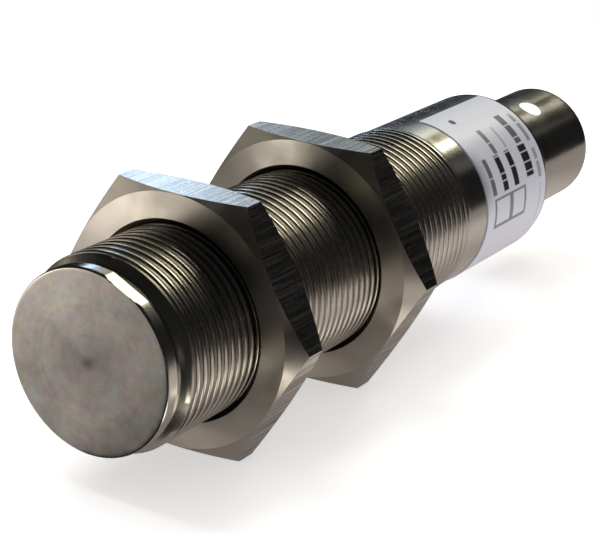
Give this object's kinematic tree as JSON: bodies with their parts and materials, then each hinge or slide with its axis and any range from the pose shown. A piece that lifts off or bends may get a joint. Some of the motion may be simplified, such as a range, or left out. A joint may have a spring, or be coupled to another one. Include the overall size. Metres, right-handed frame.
{
  "type": "inductive proximity sensor",
  "caption": "Cylindrical threaded steel proximity sensor with lock nuts, wrapped label and a plug end.",
  "frame": {"origin": "middle of the flat sensing face", "axes": "+Y along the barrel from the sensing face to the plug end, +Z square to the top flats of the lock nuts"},
  "size_m": [0.0278, 0.0835, 0.024],
  "materials": {
    "barrel_steel": "turned and thread-rolled stainless steel",
    "nut_steel": "turned faces, milled flats",
    "sleeve_steel": "polished stainless steel",
    "label_film": "printed polyester film",
    "seal_rubber": "smooth moulded rubber",
    "carrier_plastic": "moulded nylon",
    "contact_gold": "gold-plated brass",
    "window_plastic": "milky moulded plastic",
    "led_resin": "cast resin",
    "pad_film": "cut film",
    "ferrite": "ground sintered ferrite",
    "bobbin_plastic": "moulded plastic",
    "copper_wire": "enamelled copper wire",
    "holder_plastic": "moulded plastic",
    "board_laminate": "solder-masked glass-fibre laminate",
    "chip_resin": "moulded epoxy",
    "chip_ceramic": "fired ceramic with tinned ends",
    "wire_sleeve": "extruded insulation",
    "potting_resin": "cast epoxy"
  },
  "bodies": {
    "housing": {"barrel": "barrel_steel", "label": "label_film", "connector_sleeve": "sleeve_steel", "sleeve_seal": "seal_rubber", "contact_carrier": "carrier_plastic", "contact_pin_1": "contact_gold", "contact_pin_2": "contact_gold", "contact_pin_3": "contact_gold", "contact_pin_4": "contact_gold", "led_window_1": "window_plastic", "led_window_2": "window_plastic", "led_1": "led_resin", "led_2": "led_resin", "insulating_pad": "pad_film", "ferrite_core": "ferrite", "coil_bobbin": "bobbin_plastic", "coil_winding": "copper_wire", "coil_holder": "holder_plastic", "coil_lead_1": "copper_wire", "coil_lead_2": "copper_wire", "circuit_board": "board_laminate", "control_chip": "chip_resin", "output_transistor": "chip_resin", "capacitor_1": "chip_ceramic", "capacitor_2": "chip_ceramic", "resistor_1": "chip_ceramic", "resistor_2": "chip_ceramic", "resistor_3": "chip_ceramic", "connector_lead_1": "wire_sleeve", "connector_lead_2": "wire_sleeve", "connector_lead_3": "wire_sleeve", "connector_lead_4": "wire_sleeve", "potting": "potting_resin"},
    "front_nut_body": {"front_nut": "nut_steel"},
    "rear_nut_body": {"rear_nut": "nut_steel"}
  },
  "joints": [
    {"name": "front_nut_travel", "type": "slide", "parent": "housing", "child": "front_nut_body", "axis": [0, 1, 0], "range_m": [-0.0118, 0.0079]},
    {"name": "rear_nut_travel", "type": "slide", "parent": "housing", "child": "rear_nut_body", "axis": [0, 1, 0], "range_m": [-0.0079, 0.0144]}
  ]
}
